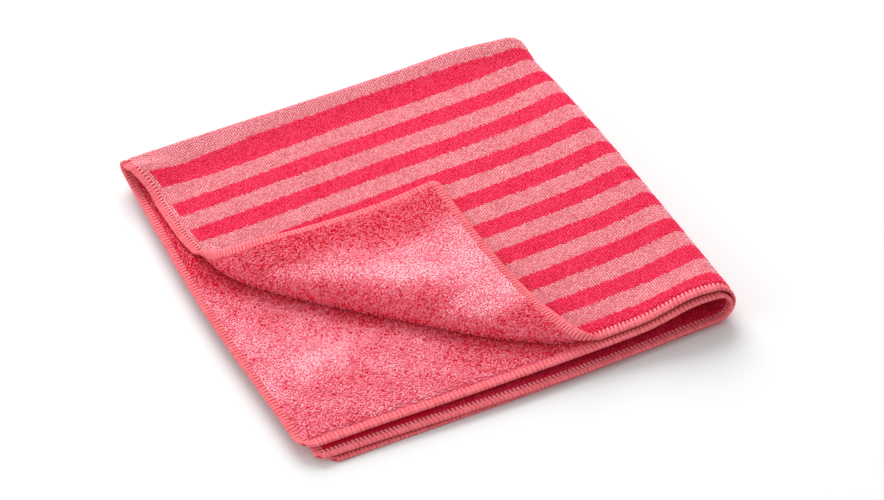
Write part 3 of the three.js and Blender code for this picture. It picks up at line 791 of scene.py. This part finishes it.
def nap_and_light_on_flap(s, t):
    """How far the corner's loops are brushed flat, with their painted light and shade: lighter past its
    ridge and along a highlight streak, away from its side hem, darker on the roll.
    """
    _, past, _, _, start = crease_at(s, t)
    beyond = past - start
    late = smooth((LATE["until"] - s) / LATE["over"])
    from_streak = (t + STREAK["slope"] * s - STREAK["at"]) / STREAK["wide"]
    streak = STREAK["much"] * np.exp(-(from_streak**2))
    streak = streak * smooth((s - STREAK_ENDS["start"]) / STREAK_ENDS["over"])
    streak = streak * smooth((STREAK_ENDS["until"] - s) / STREAK_ENDS["fade"])
    from_side = s + LIT_ENDS["uneven"] * blotches(s, t, LIT_ENDS["size"])
    lit = LIT["much"] + LIT["more"] * smooth((s - LIT["more_start"]) / LIT["more_over"])
    lit = lit * smooth((from_side - LIT_ENDS["start"]) / LIT_ENDS["over"])
    lit = lit * smooth((LIT_ENDS["until"] - s) / LIT_ENDS["fade"])
    by_hem = BY_HEM["much"] * np.exp(-((s / BY_HEM["wide"]) ** 2))
    by_hem = by_hem * smooth((BY_HEM["until"] - t) / BY_HEM["fade"])
    lit_start = beyond - LIT_PAST["start"] - LIT_PAST["later"] * late
    nap_and_light = lit * smooth(lit_start / (LIT_PAST["over"] + LIT_PAST["longer"] * late))
    nap_and_light = nap_and_light + streak * smooth((beyond - STREAK["past"]) / STREAK["over"]) + by_hem
    for patch in FLAP_BLOTCHES:
        nap_and_light = nap_and_light + patch["much"] * blotches(s, t, patch["size"])
    return np.clip(nap_and_light, 0, 1)


def nap_and_light_on_second(s, t):
    """The same on the bare cloth below it: a few brushed patches painted lighter as sheen, and upright
    loops painted darker beside the roll as its shade.
    """
    from_corner = s + SIDE - t
    nap_and_light = SECOND_NAP_AND_SHADE["much"]
    nap_and_light = nap_and_light - SECOND_NAP_AND_SHADE["less"] * smooth((from_corner - SECOND_NAP_AND_SHADE["start"]) / SECOND_NAP_AND_SHADE["over"])
    nap_and_light += sum(patch["much"] * blotches(s, t, patch["size"]) for patch in SECOND_BLOTCHES)
    for patch in NAP_SHEEN_PATCHES:
        away = ((s - patch["s"]) / patch["along"]) ** 2 + ((t - patch["t"]) / patch["across"]) ** 2
        nap_and_light += patch["much"] * np.exp(-away)
    return np.clip(nap_and_light, SECOND_NAP_AND_SHADE["least"], 1)


def outer_places():
    """Places of the ribs outside the cloth, apart from those that lie under the corner or underneath."""
    s, t = scatter((RIB_EDGE, SIDE - RIB_EDGE), (RIB_EDGE, RIB_END), RIB_PITCH, ROW_PITCH, RIB_JITTER)
    _, past, _, _, start = crease_at(s, t)
    covered = ((s < UNDER_FLAP["s"]) & (t < UNDER_FLAP["t"])) | (past > start + UNDER_FLAP["past"])
    shown = ~(covered | ((s > UNDERSIDE["s"]) & (t < UNDERSIDE["t"])))
    return s[shown], t[shown]


def inner_places():
    """Places of the ribs inside the mouth of the loop."""
    s_range = (LOOP_MOUTH["start"], LOOP_MOUTH["stop"])
    t_range = (SIDE - HEM - LOOP_MOUTH["deep"], SIDE - RIB_EDGE)
    return scatter(s_range, t_range, RIB_PITCH, ROW_PITCH, RIB_JITTER)


def flap_places():
    """Places of the loops on the turned-back corner."""
    span = (TERRY_HEM, FLAP_SPAN)
    s, t = scatter(span, span, LOOP_PITCH, LOOP_PITCH, LOOP_JITTER)
    _, past, _, _, start = crease_at(s, t)
    turned = past > start - FLAP_BEFORE
    return s[turned], t[turned]


def second_places():
    """Places of the loops on the second layer, where the corner leaves it bare and along its side hem."""
    t_range = (SECOND_BACK, SIDE - TERRY_HEM - LOOP_PITCH)
    s, t = scatter((TERRY_HEM, SECOND_SPAN), t_range, LOOP_PITCH, LOOP_PITCH, LOOP_JITTER)
    bare = (s + SIDE - t < SECOND_SPAN) | (s < SECOND_STRIP)
    return s[bare], t[bare]


def make_ribs(prefix, s, t, yarns):
    """The ribs at these places, in a red and a pink piece."""
    red = is_red(s, t)
    pieces = []
    for colour, chosen in (("red", red), ("pink", ~red)):
        points, faces, shade = rib_tufts(s[chosen], t[chosen], RIB_FULL[colour])
        pieces.append(make_object(f"{prefix}{colour}_ribs", points, faces, [yarns[colour]], shade=shade))
    return pieces


def make_loops(name, s, t, nap_and_light, yarn):
    """The loops at these places, in one piece."""
    points, faces, shade = loop_tufts(s, t, nap_and_light)
    return make_object(name, points, faces, [yarn], shade=shade)


panel_points, panel_faces, panel_slots, panel_flat = make_panel()
CENTRE[:2] = (panel_points.min(0)[:2] + panel_points.max(0)[:2]) / 2

hem_ground = hem_material("hem_ground", HEM_GROUND_LOW, HEM_GROUND)
terry_hem_ground = hem_material("terry_hem_ground", TERRY_HEM_GROUND_LOW, TERRY_HEM_GROUND)
panel_materials = [striped_material(), terry_material(), hem_ground, terry_hem_ground]
panel = make_object("cloth_panel", panel_points, panel_faces, panel_materials, panel_slots, panel_flat)

coral_yarn = yarn_material("coral_overlock", CORAL_LOW, CORAL, CORAL, HEM_GRAIN)
pale_yarn = yarn_material("pale_overlock", PALE_LOW, PALE, PALE, HEM_GRAIN)
overlock = []
for strand in STRANDS:
    points, faces, slots, shade = make_overlock(strand)
    overlock.append(make_object(strand["name"], points, faces, [coral_yarn, pale_yarn], slots, shade=shade))

rib_yarns = {}
for colour, low, high in (("red", RED_LOW, RED), ("pink", PINK_LOW, PINK)):
    between = [(1 - RIB_MIDDLE) * a + RIB_MIDDLE * b for a, b in zip(low, high)]
    rib_yarns[colour] = yarn_material(colour + "_yarn", low, between, high)
terry_yarn = yarn_material("terry_yarn", TERRY_LOW, TERRY_MID, TERRY_HIGH)

piles = make_ribs("", *outer_places(), rib_yarns)
loop_s, loop_t = flap_places()
piles.append(make_loops("flap_loops", loop_s, loop_t, nap_and_light_on_flap(loop_s, loop_t), terry_yarn))
loop_s, loop_t = second_places()
piles.append(make_loops("second_loops", loop_s, loop_t, nap_and_light_on_second(loop_s, loop_t), terry_yarn))
piles.extend(make_ribs("inner_", *inner_places(), rib_yarns))

for piece in (panel, *overlock, *piles):
    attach(piece, "root")
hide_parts("cloth")

# Floor, light and camera

def make_floor():
    """A plain pale floor under the cloth."""
    corners = [(FLOOR_REACH * x, FLOOR_REACH * y, 0) for x, y in SQUARE]
    mesh = bpy.data.meshes.new("floor")
    mesh.from_pydata(corners, [], [(0, 1, 2, 3)])
    floor = bpy.data.objects.new("floor", mesh)
    bpy.context.scene.collection.objects.link(floor)
    material = bpy.data.materials.new("floor_white")
    material.use_nodes = True
    shader = material.node_tree.nodes["Principled BSDF"]
    shader.inputs["Base Color"].default_value = (FLOOR_SHADE, FLOOR_SHADE, FLOOR_SHADE, 1)
    shader.inputs["Roughness"].default_value = 1.0
    shader.inputs["Specular IOR Level"].default_value = 0.0
    mesh.materials.append(material)


def make_light(name, position, size, watts):
    """A round, soft light that faces the middle of the cloth."""
    data = bpy.data.lights.new(name, "AREA")
    data.shape = "DISK"
    data.size = size
    data.energy = watts
    light = bpy.data.objects.new(name, data)
    light.location = position
    way = -np.array(position)
    tilt = math.acos(-way[2] / np.linalg.norm(way))
    light.rotation_euler = (tilt, 0, math.atan2(way[0], -way[1]) + math.pi)
    bpy.context.scene.collection.objects.link(light)


def make_camera():
    """At the photo's angle, with its long lens."""
    image_wide = 884
    focal_pixels = 3243
    pitch, heading = math.radians(39.886), math.radians(26.148)
    stand = np.array((-370.5, -881.2, 910.4))
    data = bpy.data.cameras.new("camera")
    data.sensor_width = 36
    data.lens = focal_pixels / image_wide * data.sensor_width
    data.clip_end = 20
    camera = bpy.data.objects.new("camera", data)
    camera.location = (stand - CENTRE) * METRE
    camera.rotation_euler = (math.pi / 2 - pitch, 0, -heading)
    bpy.context.scene.collection.objects.link(camera)
    bpy.context.scene.camera = camera


make_floor()
make_light("softbox", **SOFTBOX)
make_light("fill", **FILL)
world = bpy.data.worlds.new("studio")
world.use_nodes = True
world.node_tree.nodes["Background"].inputs["Color"].default_value = (1, 1, 1, 1)
world.node_tree.nodes["Background"].inputs["Strength"].default_value = WORLD_LIGHT
bpy.context.scene.world = world
bpy.context.scene.view_settings.view_transform = "Standard"
make_camera()
